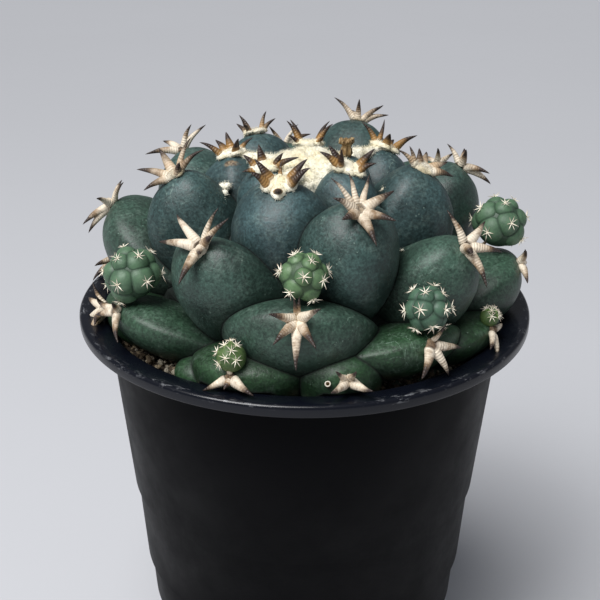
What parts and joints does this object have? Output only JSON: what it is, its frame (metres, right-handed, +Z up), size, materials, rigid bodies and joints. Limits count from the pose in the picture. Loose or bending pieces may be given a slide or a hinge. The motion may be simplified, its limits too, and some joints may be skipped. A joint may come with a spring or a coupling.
{
  "type": "potted elephant tooth cactus",
  "caption": "Low mounded cactus of fat spiralled tubercles with stout curved spines, woolly crown and small offsets, in a tapered round plastic pot with a flat base to stand on.",
  "frame": {"origin": "centre of the pot's flat underside", "axes": "+Z up along the pot's axis, -Y towards the plant's front"},
  "size_m": [0.15, 0.1518, 0.213],
  "materials": {
    "pot": "black moulded plastic with a faint blue sheen, dusty scuffs on the rim's bead",
    "soil": "rough mineral cactus grit in beige, brown and grey grains",
    "stem": "satin blue green skin with a pale bloom and fine scars",
    "pups": "satin fresh green skin, smaller and paler than the stem's",
    "spines": "horny, cream and tan with fine cross bands and dark brown tips",
    "wool": "cream white felted wool",
    "dried_flower": "papery, dry and beige"
  },
  "bodies": {
    "root": {"pot": "pot", "soil": "soil", "stem": "stem", "crown_wool": "wool", "dried_flower": "dried_flower", "pup_front": "pups", "pup_front_right": "pups", "pup_left": "pups", "pup_lower_left": "pups", "pup_lower_right": "pups", "pup_right": "pups", "spines_03": "spines", "spines_04": "spines", "spines_05": "spines", "spines_06": "spines", "spines_07": "spines", "spines_08": "spines", "spines_09": "spines", "spines_10": "spines", "spines_11": "spines", "spines_12": "spines", "spines_13": "spines", "spines_14": "spines", "spines_15": "spines", "spines_16": "spines", "spines_17": "spines", "spines_18": "spines", "spines_19": "spines", "spines_20": "spines", "spines_21": "spines", "spines_22": "spines", "spines_23": "spines", "spines_24": "spines", "spines_25": "spines", "spines_26": "spines", "spines_27": "spines", "spines_28": "spines", "spines_29": "spines", "spines_30": "spines", "spines_31": "spines", "spines_32": "spines", "spines_33": "spines", "spines_34": "spines"}
  },
  "joints": []
}
